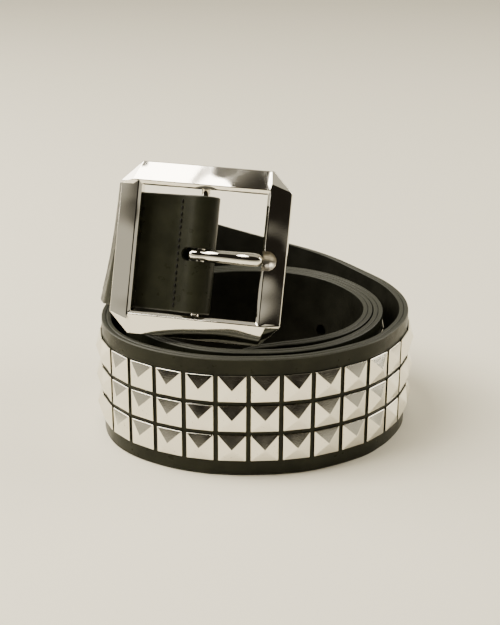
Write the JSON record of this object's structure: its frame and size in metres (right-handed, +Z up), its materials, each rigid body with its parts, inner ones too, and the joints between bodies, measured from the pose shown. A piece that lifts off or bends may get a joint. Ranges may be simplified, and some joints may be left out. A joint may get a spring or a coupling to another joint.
{
  "type": "studded belt",
  "caption": "Rolled leather belt covered in rows of pyramid studs, with a square metal buckle whose prong swings on the centre bar.",
  "frame": {"origin": "on the surface the belt stands on, under the middle of the whole rolled belt", "axes": "+Z up, along the coil's axis and across the strap's width; -Y towards the side the buckle faces; +X to the viewer's right"},
  "size_m": [0.1182, 0.1208, 0.1028],
  "materials": {
    "leather_face": "smooth glossy black",
    "leather_lining": "smooth satin black",
    "buckle_metal": "polished",
    "stud_metal": "polished"
  },
  "bodies": {
    "belt": {"studded_face": "leather_face", "strap_lining": "leather_lining", "buckle_frame": "buckle_metal", "centre_bar": "buckle_metal"},
    "prong": {"prong": "buckle_metal"}
  },
  "joints": [
    {"name": "prong_swing", "type": "hinge", "parent": "belt", "child": "prong", "pos_m": [-0.01959, -0.03388, 0.07367], "axis": [-0.0901, -0.342, -0.9354], "range_deg": [0, 95]}
  ]
}
